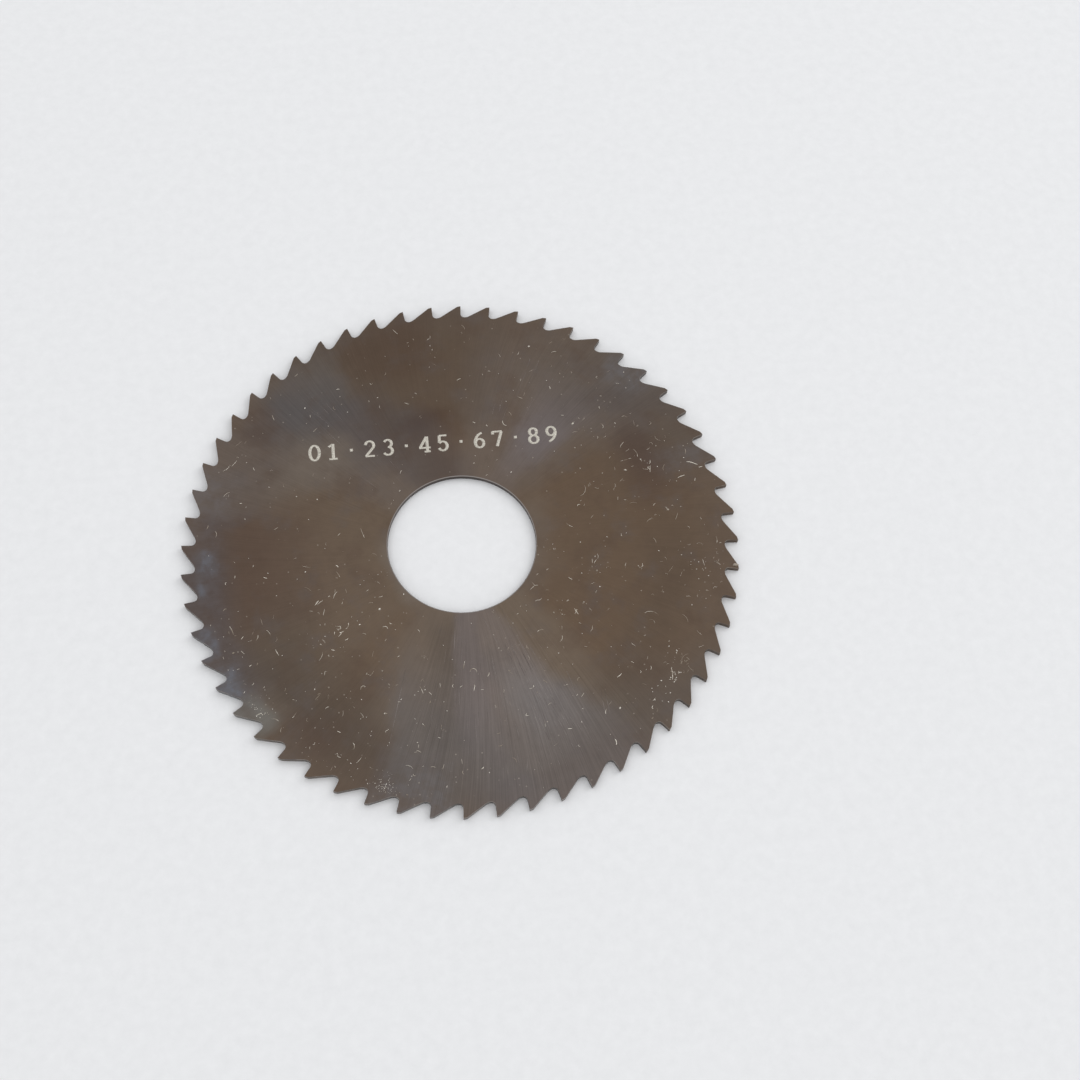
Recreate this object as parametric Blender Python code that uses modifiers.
"""A slitting saw: a thin flat disc with a plain round bore, hollow-ground sides and a ring of fine pointed teeth.

The blade is one solid piece. It is made here as it is in a workshop: a blank is turned and ground, and the
teeth are then cut into its rim. Units are metres and +Z is up. The blade lies flat with its lowest points on
Z = 0, its bore is centred on the Z axis, and the tip of the first tooth points along +X. Seen from above, every
cutting face looks clockwise.
"""

import math

import bmesh
import bpy
from mathutils import Matrix, Vector

# Driving dimensions of the disc
OUTER_DIAMETER = 0.060
BORE_DIAMETER = 0.016
THICKNESS = 0.0007

# Driving dimensions of the sides, which are parallel at the hub and at the rim and hollow between them
HUB_FACE_WIDTH = 0.005
RIM_BAND_WIDTH = 0.0006
SIDE_HOLLOW = 0.00002
BORE_CHAMFER = 0.0001

# Driving dimensions of a tooth, whose cutting face is radial
TOOTH_COUNT = 56
GULLET_DEPTH = 0.0015
LAND_LENGTH = 0.0004
LAND_RELIEF = math.radians(12.0)
FOOT_RADIUS = 0.00045
BACK_RADIUS = 0.00105

# Facets of the round stretches
FACETS_PER_TOOTH = 3
FOOT_ARC_STEPS = 7
BACK_ARC_STEPS = 4

# Workshop allowances, which leave no trace on the finished blade
GRINDING_STOCK = 0.0005
WELD_DISTANCE = 1e-7

SHARP_EDGE_ANGLE = math.radians(30.0)

# Finish: satin-ground, with a bronze-brown tone
BLADE_COLOR = (0.165, 0.125, 0.095, 1.0)
BLADE_METALLIC = 1.0
BLADE_ROUGHNESS = 0.35

# Sizes that follow from the driving dimensions
OUTER_RADIUS = OUTER_DIAMETER / 2
BORE_RADIUS = BORE_DIAMETER / 2
ROOT_RADIUS = OUTER_RADIUS - GULLET_DEPTH
TOOTH_PITCH = 2 * math.pi / TOOTH_COUNT
FACET_ANGLE = TOOTH_PITCH / FACETS_PER_TOOTH


def clear_scene():
    """Removes whatever objects the open file holds."""
    for leftover in list(bpy.data.objects):
        bpy.data.objects.remove(leftover, do_unlink=True)


def make_collection(name):
    """Returns a new collection linked to the scene."""
    collection = bpy.data.collections.new(name)
    bpy.context.scene.collection.children.link(collection)
    return collection


def blade_material():
    """Returns the satin-ground metal of the blade."""
    material = bpy.data.materials.new("ground_blade_metal")
    material.use_nodes = True
    shader = material.node_tree.nodes["Principled BSDF"]
    shader.inputs["Base Color"].default_value = BLADE_COLOR
    shader.inputs["Metallic"].default_value = BLADE_METALLIC
    shader.inputs["Roughness"].default_value = BLADE_ROUGHNESS
    material.diffuse_color = BLADE_COLOR
    return material


def evaluated_mesh(source):
    """Returns a new mesh of the object as its modifiers leave it."""
    depsgraph = bpy.context.evaluated_depsgraph_get()
    return bpy.data.meshes.new_from_object(source.evaluated_get(depsgraph))


def polar(radius, angle):
    """Returns the point at a radius and an angle round the bore axis."""
    return Vector((radius * math.cos(angle), radius * math.sin(angle)))


def arc(center, radius, start, end, steps):
    """Returns the points of an arc, both ends included."""
    return [center + polar(radius, start + (end - start) * step / steps) for step in range(steps + 1)]


def tooth_profile():
    """Returns the rim's outline from the first tooth's tip, anticlockwise, to just short of the next tip.

    Behind the tip come the land, the straight back, the blend arc down to the gullet's bottom and the foot arc
    up to the radial face of the next tooth. Both arcs touch the root circle at the bottom. The foot arc also
    touches the next face, and the back is the tangent from the land's heel to the blend arc.
    """
    tip = polar(OUTER_RADIUS, 0.0)
    heel = tip + LAND_LENGTH * Vector((-math.sin(LAND_RELIEF), math.cos(LAND_RELIEF)))

    foot_center_radius = ROOT_RADIUS + FOOT_RADIUS
    bottom_angle = TOOTH_PITCH - math.asin(FOOT_RADIUS / foot_center_radius)
    foot_center = polar(foot_center_radius, bottom_angle)
    back_center = polar(ROOT_RADIUS + BACK_RADIUS, bottom_angle)

    to_center = back_center - heel
    swing = math.asin(BACK_RADIUS / to_center.length)
    back_direction = math.atan2(to_center.y, to_center.x) + swing

    towards_axis = bottom_angle + math.pi
    square_to_back = back_direction + math.pi / 2
    square_to_face = TOOTH_PITCH + math.pi / 2
    back_arc = arc(back_center, BACK_RADIUS, square_to_back, towards_axis, BACK_ARC_STEPS)
    foot_arc = arc(foot_center, FOOT_RADIUS, towards_axis, square_to_face, FOOT_ARC_STEPS)
    return [tip, heel] + back_arc + foot_arc[1:]


def rim_outline():
    """Returns the outline of the whole rim, tooth after tooth."""
    points = []
    for tooth in range(TOOTH_COUNT):
        turn = Matrix.Rotation(tooth * TOOTH_PITCH, 2)
        points += [turn @ point for point in tooth_profile()]
    return points


def blank_section():
    """Returns the section of the turned blank as (radius, height) points, down its outer side first."""
    blank_radius = OUTER_RADIUS + GRINDING_STOCK
    band_radius = ROOT_RADIUS - RIM_BAND_WIDTH
    hub_radius = BORE_RADIUS + HUB_FACE_WIDTH
    hub_low = SIDE_HOLLOW
    hub_high = THICKNESS - SIDE_HOLLOW
    return [
        (blank_radius, THICKNESS),
        (blank_radius, 0.0),
        (band_radius, 0.0),
        (hub_radius, hub_low),
        (BORE_RADIUS + BORE_CHAMFER, hub_low),
        (BORE_RADIUS, hub_low + BORE_CHAMFER),
        (BORE_RADIUS, hub_high - BORE_CHAMFER),
        (BORE_RADIUS + BORE_CHAMFER, hub_high),
        (hub_radius, hub_high),
        (band_radius, THICKNESS),
    ]


def make_blank(collection):
    """Returns the ground disc before its teeth are cut, a section turned round the Z axis.

    The section stands half a facet from +X, so that no edge of a facet runs along a tooth's radial face.
    """
    section = blank_section()
    corners = []
    for radius, height in section:
        flat = polar(radius, FACET_ANGLE / 2)
        corners.append((flat.x, flat.y, height))
    edges = [(index, (index + 1) % len(corners)) for index in range(len(corners))]
    profile = bpy.data.meshes.new("saw_blade_section")
    profile.from_pydata(corners, edges, [])

    blank = bpy.data.objects.new("saw_blade", profile)
    collection.objects.link(blank)
    screw = blank.modifiers.new("turned", "SCREW")
    screw.axis = "Z"
    screw.steps = TOOTH_COUNT * FACETS_PER_TOOTH
    screw.render_steps = screw.steps
    screw.use_merge_vertices = True
    screw.merge_threshold = WELD_DISTANCE
    return blank


def make_rim_die(collection):
    """Returns the prism over the rim's outline, which keeps only what lies inside it."""
    curve = bpy.data.curves.new("rim_die_outline", "CURVE")
    curve.dimensions = "2D"
    curve.fill_mode = "BOTH"
    curve.extrude = THICKNESS / 2 + GRINDING_STOCK
    outline = rim_outline()
    spline = curve.splines.new("POLY")
    spline.points.add(len(outline) - 1)
    for place, point in zip(spline.points, outline):
        place.co = (point.x, point.y, 0.0, 1.0)
    spline.use_cyclic_u = True

    drawing = bpy.data.objects.new("rim_die_drawing", curve)
    drawing.location.z = THICKNESS / 2
    collection.objects.link(drawing)
    bpy.context.view_layer.update()

    die = bpy.data.objects.new("rim_die", evaluated_mesh(drawing))
    die.matrix_world = drawing.matrix_world
    collection.objects.link(die)
    bpy.data.objects.remove(drawing, do_unlink=True)

    welded = bmesh.new()
    welded.from_mesh(die.data)
    bmesh.ops.remove_doubles(welded, verts=welded.verts, dist=WELD_DISTANCE)
    bmesh.ops.recalc_face_normals(welded, faces=welded.faces)
    welded.to_mesh(die.data)
    welded.free()

    die.hide_render = True
    die.display_type = "WIRE"
    return die


def cut_teeth(blade, die):
    """Cuts the teeth into the blank's rim."""
    teeth = blade.modifiers.new("teeth", "BOOLEAN")
    teeth.operation = "INTERSECT"
    teeth.solver = "EXACT"
    teeth.object = die


def finish_blade(blade, material):
    """Turns the modifiers into the blade's own mesh, with smooth round faces and crisp ground edges."""
    bpy.context.view_layer.update()
    finished = evaluated_mesh(blade)
    blade.modifiers.clear()
    blade.data = finished
    finished.name = "saw_blade"
    finished.materials.clear()
    finished.materials.append(material)
    finished.shade_smooth()
    finished.set_sharp_from_angle(angle=SHARP_EDGE_ANGLE)


def build():
    """Makes the slitting saw."""
    clear_scene()
    parts = make_collection("slitting_saw")
    cutters = make_collection("cutters")
    blade = make_blank(parts)
    die = make_rim_die(cutters)
    cut_teeth(blade, die)
    finish_blade(blade, blade_material())


build()
